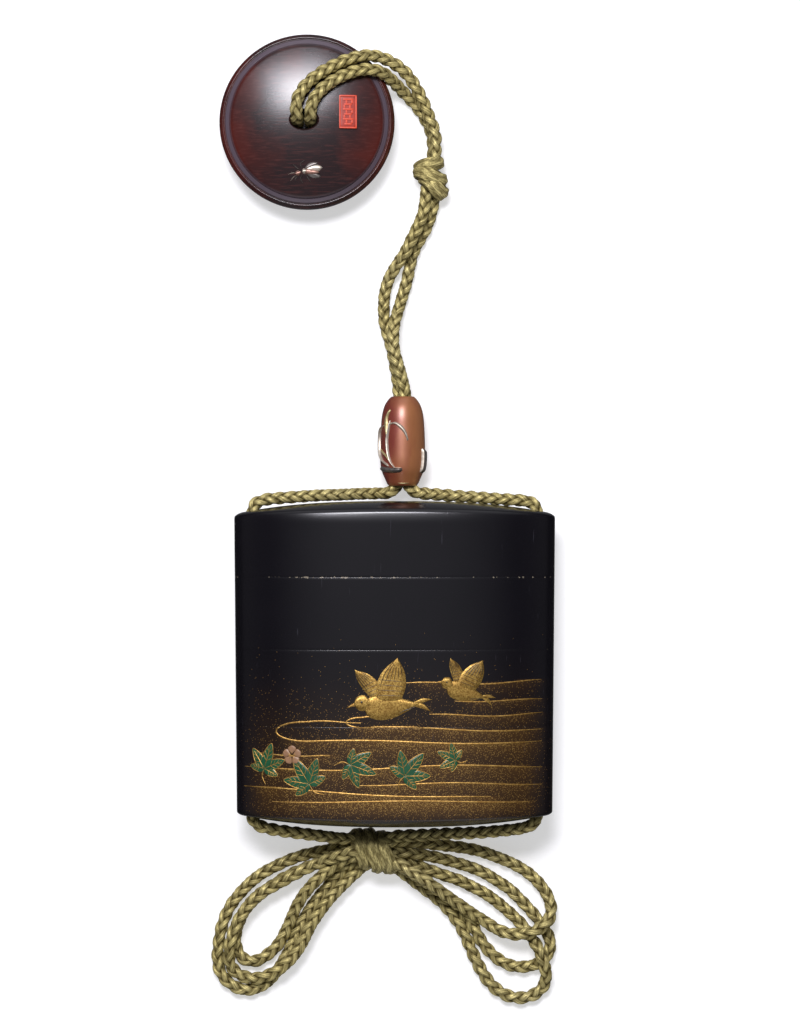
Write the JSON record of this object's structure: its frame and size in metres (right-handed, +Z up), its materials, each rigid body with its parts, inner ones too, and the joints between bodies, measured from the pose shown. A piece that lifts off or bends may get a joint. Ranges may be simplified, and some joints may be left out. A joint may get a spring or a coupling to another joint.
{
  "type": "inro case with netsuke and ojime",
  "caption": "Stacked lacquer case with a lift-off lid and fitted trays, strung on a silk cord with a sliding bead and a round toggle, and tied in a bow below.",
  "frame": {"origin": "middle of the narrow flat on the case's back, on which the case lies", "axes": "+X across the case to its right seen from the front, +Y from the case towards the toggle, +Z up out of the case's decorated front"},
  "size_m": [0.0762, 0.2128, 0.0214],
  "materials": {
    "lacquer": "polished black lacquer over thin wood with sprinkled gold",
    "netsuke_lacquer": "polished dark reddish-brown lacquer over turned wood",
    "ojime_metal": "satin patinated copper with gold and silver relief",
    "seal_lacquer": "vermilion lacquer tile",
    "inlay_metal": "chased copper, silver and gold",
    "silk": "round braid of olive-gold silk"
  },
  "bodies": {
    "root": {"lid": "lacquer", "case_upper": "lacquer", "case_middle": "lacquer", "case_lower": "lacquer", "ojime": "ojime_metal", "netsuke": "netsuke_lacquer", "seal_plaque": "seal_lacquer", "insect_inlay": "inlay_metal", "cord_netsuke_outer": "silk", "cord_netsuke_inner": "silk", "cord_middle_left": "silk", "cord_middle_right": "silk", "cord_in_ojime": "silk", "cord_case_left": "silk", "cord_case_right": "silk", "knot_upper": "silk", "knot_bow": "silk", "bow_left": "silk", "bow_right": "silk"}
  },
  "joints": []
}
